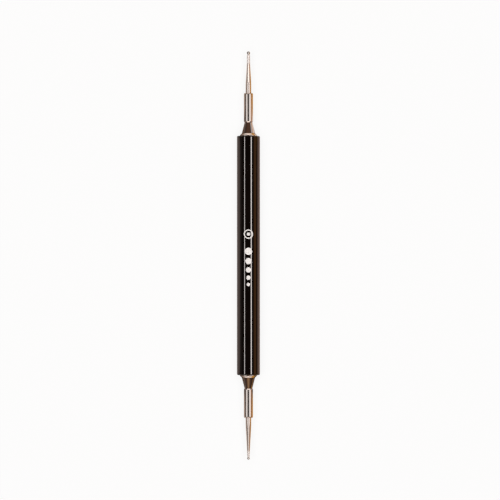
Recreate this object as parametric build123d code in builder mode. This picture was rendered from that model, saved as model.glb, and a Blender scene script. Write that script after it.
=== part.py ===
from build123d import *

import os
from math import asin, degrees, radians, sqrt, tan

# Double-ended embossing stylus, lying along X with Z up. The origin is on its axis, halfway along the handle.
# The large ball points to +X and the small ball to -X. All lengths are in millimetres.

# Handle: a drawn tube, with one tip glued into each end. Its seam angle is measured from +Y, and puts the facets
# of a meshed copy evenly about the line that the tube lies on.
handle_diameter = 8.0
handle_length = 83.0
handle_wall = 1.5
handle_edge_chamfer = 0.4
handle_mouth_chamfer = 0.2
handle_seam_angle = 75

# Collar: a spigot with glue grooves inside the tube, then a bevelled flange and a cone outside it
spigot_length = 9.0
spigot_clearance = 0.02
spigot_lead_chamfer = 0.4
glue_groove_count = 2
glue_groove_width = 0.9
glue_groove_depth = 0.15
flange_seat_width = 0.45
flange_rim_height = 0.3
flange_bevel_height = 0.6
flange_bevel_depth = 0.65
cone_length = 3.8

# Sleeve: a short tube round the needle, seated on the end of the cone, which it overhangs a little
sleeve_length = 10.2
sleeve_wall = 0.6
sleeve_overhang = 0.22
sleeve_inner_chamfer_share = 0.4
sleeve_outer_round_share = 0.65

# Needle: its shank runs back through the sleeve into a drilled hole in the collar
needle_diameter = 1.88
needle_clearance = 0.01
needle_tail_chamfer = 0.2
needle_back_wall = 3.0
drill_point_angle = 118
neck_share = 0.68

# Large tip, from the sleeve outwards: straight shank, taper, slim stem, neck, then the ball
large_straight_length = 3.4
large_taper_length = 6.9
large_stem_length = 2.27
large_stem_diameter = 1.1
large_neck_length = 0.9
large_ball_diameter = 1.3

# Small tip, in the same order
small_straight_length = 2.6
small_taper_length = 9.0
small_stem_length = 0.63
small_stem_diameter = 0.98
small_neck_length = 1.5
small_ball_diameter = 1.0

# Radii that mating pieces share
handle_bore_radius = handle_diameter / 2 - handle_wall
spigot_radius = handle_bore_radius - spigot_clearance
flange_radius = handle_bore_radius + flange_seat_width
needle_radius = needle_diameter / 2
needle_bore_radius = needle_radius + needle_clearance
sleeve_radius = needle_bore_radius + sleeve_wall

# Places along a tip, measured outwards from the end of the handle
flange_height = flange_rim_height + flange_bevel_height
cone_end = flange_height + cone_length
sleeve_end = cone_end + sleeve_length
drill_point_depth = needle_bore_radius / tan(radians(drill_point_angle / 2))
needle_tail = -(spigot_length - needle_back_wall - drill_point_depth)
groove_pitch = spigot_length / (glue_groove_count + 1)

os.makedirs("parts", exist_ok=True)


def tip_plane(side):
    """Plane at the end of the handle whose x axis points outwards along the tip."""
    return Plane(origin=(side * handle_length / 2, 0, 0), x_dir=(side, 0, 0), z_dir=(0, 0, 1))


def draw_groove_sections():
    """Section of each glue groove, from its floor out to the wall of the handle's bore."""
    with Locations((-spigot_length / 2, spigot_radius - glue_groove_depth)):
        with GridLocations(groove_pitch, 0, glue_groove_count, 1):
            Rectangle(glue_groove_width, glue_groove_depth + spigot_clearance, align=(Align.CENTER, Align.MIN))


def make_collar(name, side):
    """Turned collar: spigot, glue grooves, flange and cone, drilled from the front for the needle."""
    with BuildPart() as collar:
        with BuildSketch(tip_plane(side)):
            with BuildLine():
                Polyline(
                    (-spigot_length, 0),
                    (-spigot_length, spigot_radius - spigot_lead_chamfer),
                    (-spigot_length + spigot_lead_chamfer, spigot_radius),
                    (0, spigot_radius),
                    (0, flange_radius),
                    (flange_rim_height, flange_radius),
                    (flange_height, flange_radius - flange_bevel_depth),
                    (cone_end, sleeve_radius - sleeve_overhang),
                    (cone_end, 0),
                    close=True,
                )
            make_face()
        revolve(axis=Axis.X)
        with BuildSketch(tip_plane(side)):
            draw_groove_sections()
        revolve(axis=Axis.X, mode=Mode.SUBTRACT)
        with BuildSketch(tip_plane(side)):
            with BuildLine():
                Polyline(
                    (needle_tail - drill_point_depth, 0),
                    (needle_tail, needle_bore_radius),
                    (cone_end, needle_bore_radius),
                    (cone_end, 0),
                    close=True,
                )
            make_face()
        revolve(axis=Axis.X, mode=Mode.SUBTRACT)
    collar.part.label = f"{name}_tip_collar"
    export_step(collar.part, f"parts/{name}_tip_collar.step")


def make_glue(name, side):
    """Cured glue: one ring filling each groove of the spigot."""
    with BuildPart() as glue:
        with BuildSketch(tip_plane(side)):
            draw_groove_sections()
        revolve(axis=Axis.X)
    glue.part.label = f"{name}_tip_glue_rings"
    export_step(glue.part, f"parts/{name}_tip_glue_rings.step")


def make_sleeve(name, side):
    """Sleeve: a tube with a chamfer at the cone and a rounded outer end."""
    with BuildPart() as sleeve:
        with BuildSketch(tip_plane(side)) as wall:
            with Locations((cone_end, needle_bore_radius)):
                Rectangle(sleeve_length, sleeve_wall, align=(Align.MIN, Align.MIN))
            outer_corners = wall.vertices().group_by(Axis.Y)[-1].sort_by(Axis.X)
            chamfer(outer_corners[0], sleeve_wall * sleeve_inner_chamfer_share)
            fillet(outer_corners[-1], sleeve_wall * sleeve_outer_round_share)
        revolve(axis=Axis.X)
    sleeve.part.label = f"{name}_tip_sleeve"
    export_step(sleeve.part, f"parts/{name}_tip_sleeve.step")


def make_needle(name, side, straight_length, taper_length, stem_length, stem_diameter, neck_length, ball_radius):
    """Ground needle: straight shank, taper, slim stem and a cupped neck that the ball is brazed into."""
    taper_start = sleeve_end + straight_length
    taper_end = taper_start + taper_length
    stem_radius = stem_diameter / 2
    stem_end = taper_end + stem_length
    neck_end = stem_end + neck_length
    neck_radius = ball_radius * neck_share
    ball_centre = neck_end + sqrt(ball_radius**2 - neck_radius**2)
    with BuildPart() as needle:
        with BuildSketch(tip_plane(side)):
            with BuildLine():
                Polyline(
                    (ball_centre - ball_radius, 0),
                    (needle_tail, 0),
                    (needle_tail, needle_radius - needle_tail_chamfer),
                    (needle_tail + needle_tail_chamfer, needle_radius),
                    (taper_start, needle_radius),
                    (taper_end, stem_radius),
                    (stem_end, stem_radius),
                    (neck_end, neck_radius),
                )
                CenterArc((ball_centre, 0), ball_radius, 180, -degrees(asin(neck_share)))
            make_face()
        revolve(axis=Axis.X)
    needle.part.label = f"{name}_tip_needle"
    export_step(needle.part, f"parts/{name}_tip_needle.step")
    return ball_centre


def make_ball(name, side, ball_centre, ball_radius):
    """Polished ball, seated in the cup of the needle."""
    with BuildPart(tip_plane(side)) as ball:
        with Locations((ball_centre, 0, 0)):
            Sphere(ball_radius, rotation=(0, 90, 0))
    ball.part.label = f"{name}_tip_ball"
    export_step(ball.part, f"parts/{name}_tip_ball.step")


def make_tip(name, side, straight_length, taper_length, stem_length, stem_diameter, neck_length, ball_diameter):
    """All the pieces of one tip, and a note of how far it stands out of the handle."""
    ball_radius = ball_diameter / 2
    make_collar(name, side)
    make_glue(name, side)
    make_sleeve(name, side)
    ball_centre = make_needle(
        name, side, straight_length, taper_length, stem_length, stem_diameter, neck_length, ball_radius
    )
    make_ball(name, side, ball_centre, ball_radius)
    print(f"The {name} tip stands {ball_centre + ball_radius:.3f} mm out of the handle")


# Handle tube, with chamfered outer edges and a broken edge at each mouth
with BuildPart() as handle_tube:
    with BuildSketch(Plane.YZ.offset(-handle_length / 2).rotated((handle_seam_angle, 0, 0))):
        Circle(handle_diameter / 2)
        Circle(handle_bore_radius, mode=Mode.SUBTRACT)
    extrude(amount=handle_length)
    end_edges = handle_tube.edges().filter_by(GeomType.CIRCLE).group_by(SortBy.RADIUS)
    chamfer(end_edges[-1], handle_edge_chamfer)
    chamfer(end_edges[0], handle_mouth_chamfer)
handle_tube.part.label = "handle_tube"
export_step(handle_tube.part, "parts/handle_tube.step")

# Both tips
make_tip(
    "large",
    1,
    large_straight_length,
    large_taper_length,
    large_stem_length,
    large_stem_diameter,
    large_neck_length,
    large_ball_diameter,
)
make_tip(
    "small",
    -1,
    small_straight_length,
    small_taper_length,
    small_stem_length,
    small_stem_diameter,
    small_neck_length,
    small_ball_diameter,
)
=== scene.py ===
import math

import bmesh
import bpy
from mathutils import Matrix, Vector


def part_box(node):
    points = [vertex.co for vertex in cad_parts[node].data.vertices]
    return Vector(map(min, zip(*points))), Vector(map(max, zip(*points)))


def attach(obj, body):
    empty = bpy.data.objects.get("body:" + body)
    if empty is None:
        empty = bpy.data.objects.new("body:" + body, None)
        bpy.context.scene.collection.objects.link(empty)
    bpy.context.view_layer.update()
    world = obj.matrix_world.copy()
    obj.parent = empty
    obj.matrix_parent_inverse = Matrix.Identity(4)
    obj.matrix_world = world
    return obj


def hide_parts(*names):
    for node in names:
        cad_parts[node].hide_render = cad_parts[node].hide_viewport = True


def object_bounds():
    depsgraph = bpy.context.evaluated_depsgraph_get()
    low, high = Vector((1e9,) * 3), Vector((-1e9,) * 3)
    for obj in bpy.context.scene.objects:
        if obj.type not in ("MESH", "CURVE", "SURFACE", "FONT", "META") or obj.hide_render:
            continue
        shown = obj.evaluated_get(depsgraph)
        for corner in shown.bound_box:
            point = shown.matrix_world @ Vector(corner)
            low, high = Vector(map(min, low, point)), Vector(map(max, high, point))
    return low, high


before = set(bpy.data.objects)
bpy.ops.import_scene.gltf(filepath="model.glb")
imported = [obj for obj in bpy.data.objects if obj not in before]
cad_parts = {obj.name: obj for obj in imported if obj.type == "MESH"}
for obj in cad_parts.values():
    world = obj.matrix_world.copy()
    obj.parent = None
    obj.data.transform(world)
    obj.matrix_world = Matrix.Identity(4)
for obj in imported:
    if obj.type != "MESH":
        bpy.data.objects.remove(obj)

cadLow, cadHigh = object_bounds()

# A double-ended embossing stylus lying along X on a white sheet, with its larger ball towards +X.
# Lengths are in metres, so small features are written in millimetres times mm.
mm = 0.001
weldDistance = 0.0002 * mm  # points nearer than this become one
print("stylus: frame loaded")


class Wire:
    # One output socket of a node tree. Sums on wires add Math nodes to that tree.
    def __init__(self, tree, socket):
        self.tree = tree
        self.socket = socket

    def work(self, operation, *values):
        node = self.tree.nodes.new("ShaderNodeMath")
        node.operation = operation
        for entry, value in zip(node.inputs, values):
            plugIn(self.tree, entry, value)
        return Wire(self.tree, node.outputs[0])

    def __add__(self, other):
        return self.work("ADD", self, other)

    def __radd__(self, other):
        return self.work("ADD", other, self)

    def __sub__(self, other):
        return self.work("SUBTRACT", self, other)

    def __rsub__(self, other):
        return self.work("SUBTRACT", other, self)

    def __mul__(self, other):
        return self.work("MULTIPLY", self, other)

    def __rmul__(self, other):
        return self.work("MULTIPLY", other, self)

    def __truediv__(self, other):
        return self.work("DIVIDE", self, other)

    def size(self):
        return self.work("ABSOLUTE", self)

    def root(self):
        return self.work("SQRT", self)

    def atLeast(self, other):
        return self.work("MAXIMUM", self, other)


def plugIn(tree, entry, value):
    if isinstance(value, Wire):
        tree.links.new(value.socket, entry)
    elif entry.type == "RGBA" and len(value) == 3:
        entry.default_value = (*value, 1)
    else:
        entry.default_value = value


class Nodes:
    # The nodes of one material or of the world, added one at a time
    def __init__(self, tree):
        self.tree = tree
        tree.nodes.clear()

    def add(self, kind, settings=None, sockets=None, output=0):
        node = self.tree.nodes.new("ShaderNode" + kind)
        for name, value in (settings or {}).items():
            setattr(node, name, value)
        for name, value in (sockets or {}).items():
            plugIn(self.tree, node.inputs[name], value)
        return Wire(self.tree, node.outputs[output]) if len(node.outputs) else None

    def fade(self, value, start, end, low=0.0, high=1.0):
        # low at start, high at end, eased between them and level outside
        return self.add("MapRange", {"interpolation_type": "SMOOTHSTEP"},
                        {"Value": value, "From Min": start, "From Max": end, "To Min": low, "To Max": high})

    def mixColours(self, share, first, second):
        return self.add("Mix", {"data_type": "RGBA"}, {0: share, 6: first, 7: second}, output=2)

    def noise(self, vector, featureSize, detail=2.0):
        return self.add("TexNoise", {"noise_dimensions": "3D"},
                        {"Vector": vector, "Scale": 1 / featureSize, "Detail": detail})

    def noiseAlong(self, distance, featureSize, detail=2.0):
        return self.add("TexNoise", {"noise_dimensions": "1D"},
                        {"W": distance / featureSize, "Scale": 1.0, "Detail": detail})

    def stretched(self, vector, scale):
        return self.add("Mapping", {"vector_type": "POINT"}, {"Vector": vector, "Scale": scale})

    def point(self):
        return self.add("TexCoord", output="Object")

    def part(self, vector, axis):
        return self.add("SeparateXYZ", {}, {0: vector}, axis)

    def bump(self, height, depth):
        return self.add("Bump", {}, {"Height": height, "Distance": depth, "Strength": 1.0}, "Normal")

    def surface(self, **sockets):
        named = {name.replace("_", " "): value for name, value in sockets.items()}
        shader = self.add("BsdfPrincipled", {}, named)
        self.add("OutputMaterial", {}, {"Surface": shader})


def newFinish(name):
    material = bpy.data.materials.new(name)
    material.use_nodes = True
    return material, Nodes(material.node_tree)


lacquerLook = {
    "black": (0.0014, 0.0007, 0.0005),
    "brownBlack": (0.0030, 0.0015, 0.0011),
    "worn": (0.020, 0.015, 0.012),
    "wornReach": 0.35 * mm,  # how far the wear runs in from each end
    "wornShare": 0.6,
    "gloss": 0.03,
    "handled": 0.06,
    "scratchRoughness": 0.06,
    "wornRoughness": 0.1,
    "density": 1.9,
    "sheen": (1.0, 0.93, 0.90),
    "cloudSize": 9 * mm,
    "speckSize": 0.35 * mm,
    "scratchLength": 7 * mm,
    "scratchSlimness": 14,
    "peelSize": 0.9 * mm,
    "peelDepth": 0.0005 * mm,
}


def makeLacquer(look):
    material, nodes = newFinish("handleLacquer")
    point = nodes.point()
    x = nodes.part(point, "X")
    slimness = look["scratchSlimness"]
    clouds = nodes.noise(point, look["cloudSize"], 3.0)
    specks = nodes.noise(point, look["speckSize"], 2.0)
    hairlines = nodes.noise(nodes.stretched(point, (1, slimness, slimness)), look["scratchLength"], 4.0)
    colour = nodes.mixColours(nodes.fade(clouds, 0.35, 0.7), look["black"], look["brownBlack"])
    wornEdge = nodes.fade(x.size(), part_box("handle_tube")[1].x - look["wornReach"],
                          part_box("handle_tube")[1].x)
    wornEdge = wornEdge * nodes.fade(specks, 0.35, 0.6)
    colour = nodes.mixColours(wornEdge * look["wornShare"], colour, look["worn"])
    scratches = nodes.fade(hairlines, 0.62, 0.70)
    smudges = nodes.fade(clouds, 0.45, 0.75)
    roughness = look["gloss"] + (look["handled"] - look["gloss"]) * smudges
    roughness = roughness + look["scratchRoughness"] * scratches + look["wornRoughness"] * wornEdge
    peel = nodes.noise(point, look["peelSize"], 1.0)
    normal = nodes.bump(peel, look["peelDepth"])
    nodes.surface(Base_Color=colour, Roughness=roughness, IOR=look["density"], Specular_Tint=look["sheen"],
                  Normal=normal)
    return material


platingLook = {
    "rose": (0.88, 0.75, 0.68),
    "roseDeep": (0.80, 0.655, 0.56),
    # painted shade: the dark brown laid in the creases between the parts
    "creaseShadeColour": (0.20, 0.115, 0.075),
    "edge": (0.50, 0.40, 0.33),
    "satin": 0.10,
    "satinSpread": 0.03,
    "creaseRoughness": 0.15,
    "cloudSize": 1.1 * mm,
    "ringSize": 0.06 * mm,  # turning marks, with a broader waviness under them
    "waveSize": 0.54 * mm,
    "ringDepth": 0.0001 * mm,
}


def makePlating(name, look, creases):
    # creases: distances from the middle at which shade is painted, and how far it spreads
    material, nodes = newFinish(name)
    point = nodes.point()
    x, y, z = (nodes.part(point, axis) for axis in "XYZ")
    along = x.size() + (y * y + z * z).root() * 0.8  # so that the marks run round the flat faces too
    rings = nodes.noiseAlong(along, look["ringSize"], 3.0)
    waves = nodes.noiseAlong(along, look["waveSize"], 2.0)
    clouds = nodes.noise(point, look["cloudSize"], 3.0)
    colour = nodes.mixColours(rings * 0.5 + clouds * 0.5, look["roseDeep"], look["rose"])
    # painted shade: 1 at each crease, fading over its spread and varying with the clouds; the creases are
    # made rougher too
    creaseShade = None
    for distance, spread in creases:
        near = nodes.fade((x.size() - distance).size(), 0, spread, 1.0, 0.0)
        creaseShade = near if creaseShade is None else creaseShade.atLeast(near)
    creaseShade = creaseShade * nodes.fade(clouds, 0.2, 0.6, 0.55, 1.0)
    colour = nodes.mixColours(creaseShade, colour, look["creaseShadeColour"])
    roughness = look["satin"] + look["satinSpread"] * (rings + waves - 1.0) + creaseShade * look["creaseRoughness"]
    normal = nodes.bump(rings, look["ringDepth"])
    nodes.surface(Base_Color=colour, Metallic=1.0, Roughness=roughness, Specular_Tint=look["edge"],
                  Normal=normal)
    return material


needleLook = {
    "rose": (0.90, 0.76, 0.68),
    "roseDeep": (0.84, 0.68, 0.59),
    "solder": (0.78, 0.695, 0.65),
    "solderLead": 0.7 * mm,  # the film starts this much before the stem
    "solderWhole": 0.5 * mm,  # and is whole this much after
    "solderMetal": 0.6,
    "edge": (0.60, 0.50, 0.43),
    "satin": 0.15,
    "matt": 0.36,
    "drawnSize": 0.25 * mm,
    "blotSize": 0.3 * mm,
    "grindSize": 0.05 * mm,
    "grindDepth": 0.0001 * mm,
}


def makeNeedleFinish(name, look, stemStart):
    # ground and plated, with a matt film of solder from the stem to the ball
    material, nodes = newFinish(name)
    point = nodes.point()
    x = nodes.part(point, "X")
    grind = nodes.noiseAlong(x.size(), look["grindSize"], 3.0)
    drawn = nodes.noise(nodes.stretched(point, (0.12, 1, 1)), look["drawnSize"], 3.0)
    blots = nodes.noise(point, look["blotSize"], 3.0)
    colour = nodes.mixColours(grind * 0.45 + drawn * 0.55, look["roseDeep"], look["rose"])
    solder = nodes.fade(x.size() + (blots - 0.5) * mm, stemStart - look["solderLead"],
                        stemStart + look["solderWhole"])
    colour = nodes.mixColours(solder, colour, look["solder"])
    roughness = look["satin"] + 0.03 * (grind - 0.5) + 0.04 * (drawn - 0.5)
    roughness = roughness + (look["matt"] - look["satin"]) * solder
    normal = nodes.bump(grind * (1 - 0.8 * solder), look["grindDepth"])
    metal = 1.0 - (1.0 - look["solderMetal"]) * solder
    nodes.surface(Base_Color=colour, Metallic=metal, Roughness=roughness, Specular_Tint=look["edge"],
                  Normal=normal)
    return material


ballLook = {
    "steel": (0.86, 0.81, 0.78),
    "steelDeep": (0.77, 0.71, 0.675),
    "polish": 0.09,
    "cloudSize": 0.5 * mm,
    "markSize": 0.35 * mm,
    "markRoughness": 0.08,
    "markDepth": 0.0003 * mm,
}


def makeBallFinish(look):
    material, nodes = newFinish("ballPolish")
    point = nodes.point()
    clouds = nodes.noise(point, look["cloudSize"], 3.0)
    marks = nodes.noise(nodes.stretched(point, (1, 6, 1)), look["markSize"], 4.0)
    colour = nodes.mixColours(clouds, look["steelDeep"], look["steel"])
    roughness = look["polish"] + look["markRoughness"] * nodes.fade(marks, 0.55, 0.75)
    nodes.surface(Base_Color=colour, Metallic=1.0, Roughness=roughness,
                  Normal=nodes.bump(marks, look["markDepth"]))
    return material


glueLook = {
    "amber": (0.50, 0.34, 0.15),
    "dull": (0.36, 0.25, 0.13),
    "lumpSize": 0.7 * mm,
    "lumpDepth": 0.01 * mm,
}


def makeGlue(look):
    material, nodes = newFinish("curedGlue")
    point = nodes.point()
    lumps = nodes.noise(point, look["lumpSize"], 4.0)
    colour = nodes.mixColours(lumps, look["dull"], look["amber"])
    nodes.surface(Base_Color=colour, Roughness=0.35 + 0.3 * lumps,
                  Normal=nodes.bump(lumps, look["lumpDepth"]))
    return material


inkLook = {
    "white": (0.80, 0.775, 0.75),
    "thin": (0.66, 0.63, 0.60),
    "grainSize": 0.12 * mm,
    "grainDepth": 0.001 * mm,
}


def makeInk(look):
    material, nodes = newFinish("whiteInk")
    point = nodes.point()
    grain = nodes.noise(point, look["grainSize"], 3.0)
    colour = nodes.mixColours(nodes.fade(grain, 0.3, 0.6), look["thin"], look["white"])
    nodes.surface(Base_Color=colour, Roughness=0.42 + 0.2 * grain,
                  Normal=nodes.bump(grain, look["grainDepth"]))
    return material


def selectNothing():
    bpy.ops.object.select_all(action="DESELECT")


def editOnly(piece):
    selectNothing()
    bpy.context.view_layer.objects.active = piece
    piece.select_set(True)
    bpy.ops.object.mode_set(mode="EDIT")
    bpy.ops.mesh.select_mode(type="VERT")
    bpy.ops.mesh.select_all(action="DESELECT")


def endEdit():
    bpy.ops.object.mode_set(mode="OBJECT")


def pickPoints(piece, wanted):
    # selects the points for which wanted(x, distance from the axis) holds
    mesh = bmesh.from_edit_mesh(piece.data)
    for point in mesh.verts:
        point.select_set(bool(wanted(point.co.x, math.hypot(point.co.y, point.co.z))))
    mesh.select_flush_mode()
    bmesh.update_edit_mesh(piece.data)


def pickRing(piece, x, radius, slack=0.003 * mm):
    pickPoints(piece, lambda px, pr: abs(px - x) < slack and abs(pr - radius) < slack)


def turnPiece(name, outline, segments):
    # outline: the (x, radius) corners of half the piece's section, drawn as a chain and spun about the axis
    selectNothing()
    x, radius = outline[0]
    bpy.ops.mesh.primitive_plane_add(size=0.1 * mm, location=(x, 0, radius))  # merged to a point below
    piece = bpy.context.object
    piece.name = piece.data.name = name
    bpy.ops.object.transform_apply(location=True, rotation=True, scale=True)
    bpy.ops.object.mode_set(mode="EDIT")
    bpy.ops.mesh.select_mode(type="VERT")
    bpy.ops.mesh.select_all(action="SELECT")
    bpy.ops.mesh.merge(type="CENTER")
    for nextX, nextRadius in outline[1:]:
        move = (nextX - x, 0, nextRadius - radius)
        bpy.ops.mesh.extrude_region_move(TRANSFORM_OT_translate={"value": move})
        x, radius = nextX, nextRadius
    bpy.ops.mesh.select_all(action="SELECT")
    bpy.ops.mesh.spin(steps=segments, angle=math.tau, center=(0, 0, 0), axis=(1, 0, 0))
    bpy.ops.mesh.select_all(action="SELECT")
    bpy.ops.mesh.remove_doubles(threshold=weldDistance)
    bpy.ops.mesh.normals_make_consistent(inside=False)
    endEdit()
    return piece


def roundEdge(piece, x, radius, width, segments):
    editOnly(piece)
    pickRing(piece, x, radius)
    bpy.ops.mesh.bevel(offset=width, offset_type="OFFSET", segments=segments, profile=0.5, affect="EDGES")
    endEdit()


def applyAll(piece):
    selectNothing()
    bpy.context.view_layer.objects.active = piece
    piece.select_set(True)
    for modifier in list(piece.modifiers):
        bpy.ops.object.modifier_apply(modifier=modifier.name)


def breakEdges(piece, width, angle=24):
    # a small broken edge along every corner that is left, with even shading across the flats
    selectNothing()
    bpy.context.view_layer.objects.active = piece
    piece.select_set(True)
    bpy.ops.object.shade_smooth()
    bevel = piece.modifiers.new("brokenEdge", "BEVEL")
    bevel.width = width
    bevel.segments = 3
    bevel.limit_method = "ANGLE"
    bevel.angle_limit = math.radians(angle)
    bevel.harden_normals = True
    applyAll(piece)


def dress(piece, material, node):
    piece.data.materials.clear()
    piece.data.materials.append(material)
    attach(piece, "root")
    if node:
        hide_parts(node)


handleSettings = {
    "radius": 4.0 * mm,
    "skin": 0.012 * mm,  # the drawn radius stays this far inside the box, so that the print on it does too
    "bore": 2.5 * mm,
    "edgeRound": 0.38 * mm,
    "mouthChamfer": 0.2 * mm,
    "brokenEdge": 0.02 * mm,
    "segments": 128,
}
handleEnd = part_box("handle_tube")[1].x
handleRadius = handleSettings["radius"] - handleSettings["skin"]
flatHold = 0.05 * mm  # a ring of points this far before a rounded end keeps the shading of the flat even


def makeHandle(settings):
    bore = settings["bore"]
    held = handleEnd - settings["edgeRound"] - flatHold
    outline = [(-handleEnd, bore), (-handleEnd, handleRadius), (-held, handleRadius), (held, handleRadius),
               (handleEnd, handleRadius), (handleEnd, bore), (-handleEnd, bore)]
    piece = turnPiece("handle", outline, settings["segments"])
    for end in (-handleEnd, handleEnd):
        roundEdge(piece, end, handleRadius, settings["edgeRound"], segments=8)
        roundEdge(piece, end, bore, settings["mouthChamfer"], segments=1)
    breakEdges(piece, settings["brokenEdge"])
    return piece


lacquer = makeLacquer(lacquerLook)
handle = makeHandle(handleSettings)
dress(handle, lacquer, "handle_tube")
print("stylus: handle turned")


tipSettings = {
    "large": {"side": 1, "straight": 3.4 * mm, "taper": 6.9 * mm, "stemRadius": 0.55 * mm,
              "neckLength": 0.9 * mm, "ballRadius": 0.65 * mm},
    "small": {"side": -1, "straight": 2.6 * mm, "taper": 9.0 * mm, "stemRadius": 0.49 * mm,
              "neckLength": 1.5 * mm, "ballRadius": 0.5 * mm},
}


def reach(node):
    # the nearest and farthest x of a node, as distances from the middle of the stylus
    low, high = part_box(node)
    ends = sorted((abs(low.x), abs(high.x)))
    return ends[0], ends[1]


def towards(side, outline):
    return [(side * x, radius) for x, radius in outline]


collarSettings = {
    "spigotRadius": 2.48 * mm,
    "spigotLead": 0.4 * mm,
    "grooveCount": 2,
    "groovePitch": 3.0 * mm,
    "grooveWidth": 0.9 * mm,
    "grooveDepth": 0.15 * mm,
    "flangeRadius": 2.95 * mm,
    "rimHeight": 0.3 * mm,
    "rimRound": 0.12 * mm,
    "bevelHeight": 0.6 * mm,
    "bevelDepth": 0.65 * mm,
    "coneEndRadius": 1.33 * mm,
    "drillRadius": 0.95 * mm,
    "drillPoint": 0.571 * mm,
    "brokenEdge": 0.045 * mm,
    "seatShade": 0.05 * mm,  # how far painted shade spreads from the handle, the foot of the cone and its end
    "flangeShade": 0.16 * mm,
    "coneShade": 0.12 * mm,
    "segments": 96,
}


def makeCollar(name, side, settings):
    back, front = reach(f"{name}_tip_collar")
    needleTail = reach(f"{name}_tip_needle")[0]
    spigot, flange, drill = settings["spigotRadius"], settings["flangeRadius"], settings["drillRadius"]
    rimEnd = handleEnd + settings["rimHeight"]
    flangeEnd = rimEnd + settings["bevelHeight"]
    outline = [(back, 0), (back, spigot - settings["spigotLead"]), (back + settings["spigotLead"], spigot)]
    middle = (back + handleEnd) / 2
    for index in range(settings["grooveCount"]):
        centre = middle + (index - (settings["grooveCount"] - 1) / 2) * settings["groovePitch"]
        start, end = centre - settings["grooveWidth"] / 2, centre + settings["grooveWidth"] / 2
        floor = spigot - settings["grooveDepth"]
        outline += [(start, spigot), (start, floor), (end, floor), (end, spigot)]
    outline += [(handleEnd, spigot), (handleEnd, flange), (rimEnd, flange),
                (flangeEnd, flange - settings["bevelDepth"]), (front, settings["coneEndRadius"]),
                (front, drill), (needleTail, drill), (needleTail - settings["drillPoint"], 0)]
    piece = turnPiece(f"{name}Collar", towards(side, outline), settings["segments"])
    roundEdge(piece, side * rimEnd, flange, settings["rimRound"], segments=4)
    breakEdges(piece, settings["brokenEdge"])
    return piece


sleeveSettings = {
    "radius": 1.55 * mm,
    "boreRadius": 0.95 * mm,
    "innerChamfer": (0.36 * mm, 0.16 * mm),  # along and in
    "outerRound": 0.39 * mm,
    "mouthRound": 0.06 * mm,
    "brokenEdge": 0.03 * mm,
    # painted shade where the sleeve meets the cone
    "coneShade": 0.05 * mm,
    "segments": 96,
}


def makeSleeve(name, side, settings):
    back, front = reach(f"{name}_tip_sleeve")
    bore, radius = settings["boreRadius"], settings["radius"]
    along, inwards = settings["innerChamfer"]
    held = front - settings["outerRound"] - flatHold
    outline = [(back, bore), (back, radius - inwards), (back + along, radius), (held, radius),
               (front, radius), (front, bore), (back, bore)]
    piece = turnPiece(f"{name}Sleeve", towards(side, outline), settings["segments"])
    roundEdge(piece, side * front, radius, settings["outerRound"], segments=7)
    roundEdge(piece, side * front, bore, settings["mouthRound"], segments=2)
    breakEdges(piece, settings["brokenEdge"], angle=20)
    return piece


needleSettings = {
    "shankRadius": 0.94 * mm,
    "tailChamfer": 0.2 * mm,
    "taperEase": 1.0 * mm,
    "stemEaseShare": 0.45,  # the most of a short stem that the end of the taper may take up
    "neckEase": 0.25 * mm,
    "neckShare": 0.68,  # of the ball's radius
    "cupSteps": 6,
    "brokenEdge": 0.02 * mm,
    "segments": 96,
}


def makeNeedle(name, tip, settings):
    back = reach(f"{name}_tip_needle")[0]
    ballFar = reach(f"{name}_tip_ball")[1]
    sleeveEnd = reach(f"{name}_tip_sleeve")[1]
    shank, stem, ballRadius = settings["shankRadius"], tip["stemRadius"], tip["ballRadius"]
    ballCentre = ballFar - ballRadius
    neckRadius = ballRadius * settings["neckShare"]
    neckEnd = ballCentre - math.sqrt(ballRadius ** 2 - neckRadius ** 2)
    stemEnd = neckEnd - tip["neckLength"]
    taperStart = sleeveEnd + tip["straight"]
    taperEnd = taperStart + tip["taper"]
    outline = [(back, 0), (back, shank - settings["tailChamfer"]), (back + settings["tailChamfer"], shank)]
    outline += [(taperStart, shank), (taperEnd, stem), (stemEnd, stem), (neckEnd, neckRadius)]
    cupAngle = math.asin(settings["neckShare"])
    for step in range(1, settings["cupSteps"] + 1):
        angle = cupAngle * (1 - step / settings["cupSteps"])
        outline.append((ballCentre - ballRadius * math.cos(angle), ballRadius * math.sin(angle)))
    side = tip["side"]
    stemEase = min(settings["taperEase"], settings["stemEaseShare"] * (stemEnd - taperEnd))
    piece = turnPiece(f"{name}Needle", towards(side, outline), settings["segments"])
    roundEdge(piece, side * taperStart, shank, settings["taperEase"], segments=6)
    roundEdge(piece, side * taperEnd, stem, stemEase, segments=5)
    roundEdge(piece, side * stemEnd, stem, settings["neckEase"], segments=4)
    breakEdges(piece, settings["brokenEdge"], angle=30)
    return piece, taperEnd


ballSettings = {
    "skin": 0.001 * mm,
    "seat": 0.93,  # where the flat seat starts, as a share of the radius
    "pipWidth": 0.4,
    "pipHeight": 0.03,
    "rubbed": 0.97,  # where the rubbed point starts
    "rubbedHeight": 0.82,
    "segments": 64,
    "rings": 32,
}


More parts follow.
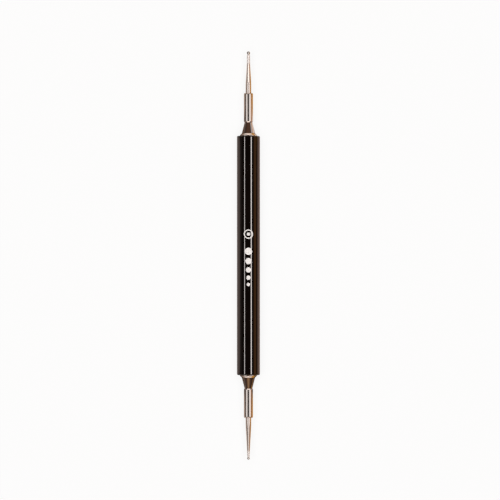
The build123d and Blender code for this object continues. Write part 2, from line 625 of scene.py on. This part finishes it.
def makeBall(name, tip, settings):
    radius, side = tip["ballRadius"], tip["side"]
    centre = side * (reach(f"{name}_tip_ball")[1] - radius)
    seat, rubbed = radius * settings["seat"], radius * settings["rubbed"]
    selectNothing()
    bpy.ops.mesh.primitive_uv_sphere_add(segments=settings["segments"], ring_count=settings["rings"],
                                         radius=radius - settings["skin"], location=(centre, 0, 0),
                                         rotation=(0, math.pi / 2, 0))
    piece = bpy.context.object
    piece.name = piece.data.name = f"{name}Ball"
    bpy.ops.object.transform_apply(location=True, rotation=True, scale=True)
    editOnly(piece)
    # the seat that the braze holds: a shallow flat with a pip, inside the cup of the needle
    pickPoints(piece, lambda x, r: (centre - x) * side > seat)
    bpy.ops.transform.resize(value=(0, 1, 1), center_override=(centre - side * seat, 0, 0))
    bpy.ops.mesh.extrude_region_move()
    pipWidth = settings["pipWidth"]
    bpy.ops.transform.resize(value=(1, pipWidth, pipWidth), center_override=(centre, 0, 0))
    bpy.ops.transform.translate(value=(-side * radius * settings["pipHeight"], 0, 0))
    # the point is rubbed a very little flatter by use
    pickPoints(piece, lambda x, r: (x - centre) * side > rubbed)
    bpy.ops.transform.resize(value=(settings["rubbedHeight"], 1, 1),
                             center_override=(centre + side * rubbed, 0, 0))
    bpy.ops.mesh.select_all(action="SELECT")
    bpy.ops.mesh.normals_make_consistent(inside=False)
    endEdit()
    selectNothing()
    piece.select_set(True)
    bpy.ops.object.shade_smooth_by_angle(angle=math.radians(50))
    return piece


ballPolish = makeBallFinish(ballLook)
gluePaste = makeGlue(glueLook)
collars, sleeves, needles, balls = [], [], [], []
for name, tip in tipSettings.items():
    side = tip["side"]
    coneEnd = reach(f"{name}_tip_collar")[1]
    flangeEnd = handleEnd + collarSettings["rimHeight"] + collarSettings["bevelHeight"]
    # painted shade in the creases of each collar and at the foot of each sleeve
    collarFinish = makePlating(f"{name}CollarPlate", platingLook, [
        (handleEnd, collarSettings["seatShade"]), (flangeEnd, collarSettings["flangeShade"]),
        (coneEnd, collarSettings["coneShade"])])
    sleeveFinish = makePlating(f"{name}SleevePlate", platingLook, [(coneEnd, sleeveSettings["coneShade"])])
    collar = makeCollar(name, side, collarSettings)
    dress(collar, collarFinish, f"{name}_tip_collar")
    sleeve = makeSleeve(name, side, sleeveSettings)
    dress(sleeve, sleeveFinish, f"{name}_tip_sleeve")
    needle, stemStart = makeNeedle(name, tip, needleSettings)
    needleFinish = makeNeedleFinish(f"{name}NeedlePlate", needleLook, stemStart)
    dress(needle, needleFinish, f"{name}_tip_needle")
    ball = makeBall(name, tip, ballSettings)
    dress(ball, ballPolish, f"{name}_tip_ball")
    collars.append(collar)
    sleeves.append(sleeve)
    needles.append(needle)
    balls.append(ball)
    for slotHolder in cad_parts[f"{name}_tip_glue_rings"].material_slots:
        slotHolder.material = gluePaste
    print(f"stylus: {name} tip made")


# Print on the handle: a dot in a ring for the ball, then a row of dots that get smaller
printSettings = {
    "ringPlace": 7.4 * mm,
    "ringRadius": 1.6 * mm,
    "ringWidth": 0.36 * mm,
    "centreRadius": 0.55 * mm,
    "rowStart": 2.7 * mm,
    "rowRadii": (1.25 * mm, 1.08 * mm, 0.91 * mm, 0.74 * mm, 0.57 * mm),
    "rowGap": 1.05 * mm,
    "above": 6 * mm,  # the height from which the mark is dropped onto the handle
    "ruling": 0.12 * mm,
    "lift": 0.001 * mm,
    "thickness": 0.005 * mm,
    "segments": 72,
}


def printDisc(settings, x, radius, hole=0.0):
    # a disc, or a ring if it has a hole, ruled into rings so that it can follow the curve of the handle
    selectNothing()
    bpy.ops.mesh.primitive_circle_add(vertices=settings["segments"], radius=radius, fill_type="NGON",
                                      location=(x, 0, settings["above"]))
    disc = bpy.context.object
    bpy.ops.object.transform_apply(location=True, rotation=True, scale=True)
    bpy.ops.object.mode_set(mode="EDIT")
    bpy.ops.mesh.select_mode(type="FACE")
    bpy.ops.mesh.select_all(action="SELECT")
    steps = max(3, round((radius - hole) / settings["ruling"]))
    width = (radius - hole) / (steps if hole else steps + 0.5)  # a disc keeps a small face for its middle
    for step in range(steps):
        bpy.ops.mesh.inset(thickness=width)
    if hole:
        bpy.ops.mesh.delete(type="FACE")
    else:
        bpy.ops.mesh.poke()
    endEdit()
    return disc


def makePrint(settings, ink):
    place, radius = settings["ringPlace"], settings["ringRadius"]
    discs = [printDisc(settings, place, radius, hole=radius - settings["ringWidth"]),
             printDisc(settings, place, settings["centreRadius"])]
    x = settings["rowStart"]
    for radius in settings["rowRadii"]:
        discs.append(printDisc(settings, x - radius, radius))
        x -= 2 * radius + settings["rowGap"]
    selectNothing()
    for disc in discs:
        disc.select_set(True)
    bpy.context.view_layer.objects.active = discs[0]
    bpy.ops.object.join()
    piece = bpy.context.object
    piece.name = piece.data.name = "handlePrint"
    bpy.ops.object.transform_apply(location=True, rotation=True, scale=True)
    wrap = piece.modifiers.new("ontoHandle", "SHRINKWRAP")
    wrap.target = handle
    wrap.wrap_method = "PROJECT"
    wrap.use_project_z = True
    wrap.use_negative_direction = True
    wrap.use_positive_direction = False
    wrap.offset = settings["lift"]
    film = piece.modifiers.new("inkFilm", "SOLIDIFY")
    film.thickness = settings["thickness"]
    film.offset = 1.0
    applyAll(piece)
    editOnly(piece)
    bpy.ops.mesh.select_all(action="SELECT")
    bpy.ops.mesh.normals_make_consistent(inside=False)
    endEdit()
    bpy.ops.object.shade_smooth_by_angle(angle=math.radians(40))
    dress(piece, ink, None)
    return piece


handlePrint = makePrint(printSettings, makeInk(inkLook))
print("stylus: print laid on the handle")


floorSettings = {
    "side": 6.0,
    "paper": (0.94, 0.935, 0.93),
    "paperThin": 0.985,  # how much darker the grain of the paper gets
    "grainSize": 0.4 * mm,
    "whiteSeen": 0.855,  # how much of the sheet is plain white to the camera, which grows to all of it
    "fadeStart": 0.09,
    "fadeEnd": 0.30,
    # painted shade and painted warm reflected light: how the sheet looks in lacquer and plating, to the left
    # and to the right of each part, darker and warmer in places than the white paper the camera sees
    "besideHandle": {"left": (0.49, 0.405, 0.375), "right": (0.66, 0.46, 0.40)},
    "besideLowerHandle": {"left": (0.49, 0.405, 0.375), "right": (0.70, 0.50, 0.42)},
    "besideLargeCone": {"left": (0.13, 0.10, 0.085), "right": (0.95, 0.93, 0.95)},
    "besideSmallCone": {"left": (0.13, 0.11, 0.09), "right": (0.14, 0.10, 0.08)},
    "besideSleeves": {"left": (0.47, 0.42, 0.38), "right": (0.74, 0.42, 0.06)},
    "farFromHandle": {"left": (0.40, 0.34, 0.32), "right": (0.10, 0.06, 0.04)},
    "farFromLargeTip": {"left": (0.15, 0.12, 0.105), "right": (0.55, 0.29, 0.03)},
    "farFromSmallTip": {"left": (0.15, 0.12, 0.105), "right": (0.22, 0.12, 0.03)},
    "toneWidth": 9.0 * mm,
    "lowerFrom": 32.0 * mm,  # the tone beside the lower handle comes in between these two
    "lowerWhole": -28.0 * mm,
    "farStart": 16.0 * mm,
    "farWhole": 42.0 * mm,
    "coneStart": 42.0 * mm,
    "coneStartSoft": 0.5 * mm,
    "coneEnd": 46.5 * mm,
    "coneEndSoft": 1.0 * mm,
    "coneSpread": 0.3,
    "endStart": 63.0 * mm,
    "endWhole": 72.0 * mm,
    "endLead": 6.0 * mm,  # the painted white that mirrors see past the ends starts this much sooner on the left
    "endSpread": 12.0 * mm,
}


# Painted shade and painted warm reflected light: the colours that mirrors see in the sheet, set part by part
# and side by side
def paintedSheetInMirrors(nodes, settings, x, y, left):
    def toneBeside(part):
        return nodes.mixColours(left, settings[part]["right"], settings[part]["left"])

    def past(distance, place, softness):
        return nodes.fade(distance, place - softness, place + softness)

    lower = nodes.fade(x, settings["lowerWhole"], settings["lowerFrom"], 1.0, 0.0)
    handleTone = nodes.mixColours(lower, toneBeside("besideHandle"), toneBeside("besideLowerHandle"))
    large = past(x, 0, 1 * mm)
    coneTone = nodes.mixColours(large, toneBeside("besideSmallCone"), toneBeside("besideLargeCone"))
    pastHandle = past(x.size(), settings["coneStart"], settings["coneStartSoft"])
    alongCone = x.size() - y.size() * settings["coneSpread"]
    pastCone = past(alongCone, settings["coneEnd"], settings["coneEndSoft"])
    nearTone = nodes.mixColours(pastHandle, handleTone, coneTone)
    nearTone = nodes.mixColours(pastCone, nearTone, toneBeside("besideSleeves"))
    farFromTips = nodes.mixColours(large, toneBeside("farFromSmallTip"), toneBeside("farFromLargeTip"))
    farTone = nodes.mixColours(pastHandle, toneBeside("farFromHandle"), farFromTips)
    far = nodes.fade(y.size(), settings["farStart"], settings["farWhole"])
    return nodes.mixColours(far, nearTone, farTone)


def makeFloor(settings):
    selectNothing()
    bpy.ops.mesh.primitive_plane_add(size=settings["side"], location=(0, 0, cadLow.z))
    sheet = bpy.context.object
    sheet.name = sheet.data.name = "whiteSheet"
    material, nodes = newFinish("whitePaper")
    point = nodes.point()
    x, y = nodes.part(point, "X"), nodes.part(point, "Y")
    seen = nodes.add("LightPath", output="Is Camera Ray")
    mirrored = nodes.add("LightPath", output="Is Glossy Ray")
    mirrored = mirrored.atLeast(nodes.add("LightPath", output="Is Transmission Ray"))
    left = nodes.fade(y, -settings["toneWidth"], settings["toneWidth"])
    grain = nodes.noise(point, settings["grainSize"], 3.0)
    thinPaper = tuple(value * settings["paperThin"] for value in settings["paper"])
    paperTone = nodes.mixColours(grain, thinPaper, settings["paper"])
    # painted reflection: lacquer and plating see the sheet in these painted tones, the camera sees the plain
    # paper
    paintedMirrorTone = paintedSheetInMirrors(nodes, settings, x, y, left)
    paper = nodes.add("BsdfDiffuse", {}, {"Color": nodes.mixColours(mirrored, paperTone, paintedMirrorTone)})
    glow = nodes.add("Emission", {}, {"Color": (1, 1, 1), "Strength": 1.0})
    distance = nodes.add("VectorMath", {"operation": "LENGTH"}, {0: point}, "Value")
    away = nodes.fade(distance, settings["fadeStart"], settings["fadeEnd"])
    pastEnds = nodes.fade(x.size() + left * settings["endLead"], settings["endStart"], settings["endWhole"])
    pastEnds = pastEnds * nodes.fade(y.size(), settings["endSpread"], settings["endSpread"] * 2, 1.0, 0.0)
    # painted reflection: in mirrors the sheet glows plain white only past the ends; to the camera it is
    # mostly plain white
    share = seen * (settings["whiteSeen"] + (1 - settings["whiteSeen"]) * away) + mirrored * pastEnds
    mixed = nodes.add("MixShader", {}, {0: share, 1: paper, 2: glow})
    nodes.add("OutputMaterial", {}, {"Surface": mixed})
    sheet.data.materials.append(material)


makeFloor(floorSettings)
print("stylus: white sheet laid")


lampSettings = {
    "strips": {  # low, for the handle: two thin lines of light along it
        "left": {"angle": 38.6, "width": 0.0224, "reach": 0.063, "glow": 7.0},
        "right": {"angle": -28.1, "width": 0.0312, "reach": 0.061, "glow": 7.9},
    },
    "stripHeight": 0.2,
    "panelTint": (0.88, 0.95, 1.0),
    "panels": {  # broad and soft, from and to these angles off the vertical
        "left": {"from": 24.0, "to": 65.0, "start": -0.135, "end": 0.135, "glow": 0.94},
        "right": {"from": -14.0, "to": -69.0, "start": -0.135, "end": 0.135, "glow": 0.92},
        "taperLargeLeft": {"from": 28.0, "to": 76.0, "start": 0.135, "end": 0.32, "glow": 0.36},
        "taperLargeRight": {"from": -28.0, "to": -62.0, "start": 0.135, "end": 0.32, "glow": 0.55},
        "taperSmallLeft": {"from": 28.0, "to": 76.0, "start": -0.32, "end": -0.135, "glow": 0.16},
        "taperSmallRight": {"from": -28.0, "to": -62.0, "start": -0.32, "end": -0.135, "glow": 0.26},
    },
    "bars": {  # straight above the needles and the balls
        "nearLarge": {"start": 0.05, "end": 0.132, "glow": 0.46},
        "farLarge": {"start": 0.132, "end": 0.27, "glow": 1.75},
        "nearSmall": {"start": -0.12, "end": -0.05, "glow": 0.55},
        "farSmall": {"start": -0.27, "end": -0.12, "glow": 0.84},
        "ballLarge": {"start": -0.24, "end": 0.26, "glow": 1.5},
        "ballSmall": {"start": -0.34, "end": 0.12, "glow": 1.5},
    },
    "barReach": 0.25,
    "height": 0.5,
    "cards": {  # past the ends, facing the stylus: low ones for both tips, and a high one for each sleeve
        "low": {"away": 0.5, "height": 0.1, "angle": 90.0, "width": 0.2, "depth": 0.36, "glow": 1.6},
        "high": {"away": 0.5, "height": 0.42, "angle": 50.0, "width": 0.5, "depth": 0.9, "glow": 1.1},
    },
    "fill": {"height": 0.9, "side": 1.0, "glow": 3.0},
}
glowToPower = math.pi  # a lamp's power over its area, for each unit of brightness of its face


def addPanel(name, lit, place, turn, width, depth, glow, tint=(1, 1, 1)):
    # lit: the group of pieces that this lamp is for, or None for everything
    selectNothing()
    bpy.ops.object.light_add(type="AREA", location=place, rotation=turn)
    lamp = bpy.context.object
    lamp.name = lamp.data.name = name
    lamp.data.shape = "RECTANGLE"
    lamp.data.size = width
    lamp.data.size_y = depth
    lamp.data.energy = glow * glowToPower * width * depth
    lamp.data.color = tint
    lamp.visible_camera = False
    lamp.light_linking.receiver_collection = lit
    return lamp


def gather(name, pieces):
    group = bpy.data.collections.new(name)
    for piece in pieces:
        group.objects.link(piece)
    return group


def addLamps(settings):
    height = settings["height"]
    forHandle = gather("forHandle", [handle, handlePrint])
    forTips = gather("forTips", collars + sleeves + needles)
    forNeedles = gather("forNeedles", needles)
    forBalls = gather("forBalls", balls)
    stripHeight = settings["stripHeight"]
    for side, strip in settings["strips"].items():
        angle = math.radians(strip["angle"])
        addPanel(f"{side}Strip", forHandle, (0, stripHeight * math.tan(angle), stripHeight), (-angle, 0, 0),
                 2 * strip["reach"], strip["width"], strip["glow"])
    for name, panel in settings["panels"].items():
        middle = math.radians((panel["from"] + panel["to"]) / 2)
        half = math.radians(abs(panel["to"] - panel["from"]) / 2)
        width = 2 * height / math.cos(middle) * math.tan(half)
        addPanel(f"{name}Panel", forNeedles if "taper" in name else forTips,
                 ((panel["start"] + panel["end"]) / 2, height * math.tan(middle), height), (-middle, 0, 0),
                 panel["end"] - panel["start"], width, panel["glow"], settings["panelTint"])
    for name, bar in settings["bars"].items():
        addPanel(f"{name}Bar", forBalls if "ball" in name else forNeedles,
                 ((bar["start"] + bar["end"]) / 2, 0, height), (0, 0, 0),
                 bar["end"] - bar["start"], 2 * settings["barReach"], bar["glow"])
    for sleeve, tip in zip(sleeves, tipSettings.values()):
        away = -tip["side"]  # past the other tip
        lit = {"low": forTips, "high": gather(f"{sleeve.name}Only", [sleeve])}
        for name, card in settings["cards"].items():
            addPanel(f"{sleeve.name}{name.title()}Card", lit[name], (away * card["away"], 0, card["height"]),
                     (0, away * math.radians(card["angle"]), 0), card["width"], card["depth"], card["glow"])
    fill = settings["fill"]
    softbox = addPanel("softFill", None, (0, 0, fill["height"]), (0, 0, 0), fill["side"], fill["side"],
                       fill["glow"])
    softbox.visible_glossy = False


roomSettings = {  # angles in degrees, each with how softly its edge blends
    "ceiling": (0.018, 0.014, 0.0125),
    "corners": {"colour": (0.105, 0.058, 0.038), "start": (29.0, 5.0)},
    "wallLeft": {"colour": (0.065, 0.055, 0.052), "spread": (50.0, 10.0), "top": (23.0, 5.0)},
    "warmBoard": {"colour": (0.40, 0.187, 0.074), "spread": (15.0, 8.0), "bottom": (7.0, 4.0),
                  "top": (34.0, 8.0)},
    # this board stands on the right, between these angles round from the large tip
    "greyBoard": {"colour": (0.46, 0.46, 0.49), "from": (40.0, 5.0), "to": (72.0, 5.0), "top": (30.0, 7.0)},
    # past the small tip, this far off the vertical and this wide
    "brownPatch": {"colour": (0.26, 0.175, 0.10), "angle": 31.0, "width": (16.9, 9.1)},
}


def sine(angle):
    return math.sin(math.radians(angle))


def cosine(angle):
    return math.cos(math.radians(angle))


def makeRoom(settings):
    world = bpy.data.worlds.new("whiteRoom")
    bpy.context.scene.world = world
    world.use_nodes = True
    nodes = Nodes(world.node_tree)
    way = nodes.add("TexCoord", output="Generated")
    x, y, z = (nodes.part(way, axis) for axis in "XYZ")
    flat = (x * x + y * y).root().atLeast(0.0001)
    toRight, toLeft, toLarge = (0 - y) / flat, y / flat, x / flat

    def above(height, edge):
        # 1 where height is the sine of more than the angle of this edge
        angle, softness = edge
        return nodes.fade(height, sine(angle - softness), sine(angle + softness))

    def within(closeness, edge):
        # 1 where closeness is the cosine of less than the angle of this edge
        angle, softness = edge
        return nodes.fade(closeness, cosine(angle + softness), cosine(angle - softness))

    corners, wall, warm = settings["corners"], settings["wallLeft"], settings["warmBoard"]
    grey, brown = settings["greyBoard"], settings["brownPatch"]
    colour = nodes.mixColours(above(x.size(), corners["start"]), settings["ceiling"], corners["colour"])
    onWall = within(toLeft, wall["spread"]) * (1 - above(z, wall["top"]))
    colour = nodes.mixColours(onWall, colour, wall["colour"])
    onWarm = within(toRight, warm["spread"]) * above(z, warm["bottom"]) * (1 - above(z, warm["top"]))
    colour = nodes.mixColours(onWarm, colour, warm["colour"])
    onGrey = within(toLarge, grey["to"]) * (1 - within(toLarge, grey["from"])) * (1 - above(z, grey["top"]))
    onGrey = onGrey * nodes.fade(toRight, 0.0, 0.2)
    colour = nodes.mixColours(onGrey, colour, grey["colour"])
    toPatch = x * -sine(brown["angle"]) + z * cosine(brown["angle"])
    colour = nodes.mixColours(within(toPatch, brown["width"]), colour, brown["colour"])
    room = nodes.add("Background", {}, {"Color": colour, "Strength": 1.0})
    white = nodes.add("Background", {}, {"Color": (1, 1, 1), "Strength": 1.0})
    seen = nodes.add("LightPath", output="Is Camera Ray")
    mixed = nodes.add("MixShader", {}, {0: seen, 1: room, 2: white})
    nodes.add("OutputWorld", {}, {"Surface": mixed})


addLamps(lampSettings)
makeRoom(roomSettings)
bpy.context.scene.view_settings.view_transform = "Standard"
print("stylus: lamps and room set")


# Straight above, with the larger ball at the top of the picture
cameraSettings = {"place": (0.0019, -0.00054, 0.965), "lens": 200, "sensor": 36}


def addCamera(settings):
    selectNothing()
    bpy.ops.object.camera_add(location=settings["place"], rotation=(0, 0, -math.pi / 2))
    camera = bpy.context.object
    camera.name = camera.data.name = "overheadCamera"
    camera.data.lens = settings["lens"]
    camera.data.sensor_width = settings["sensor"]
    camera.data.clip_start = 0.01
    bpy.context.scene.camera = camera


addCamera(cameraSettings)
print("stylus: camera placed")
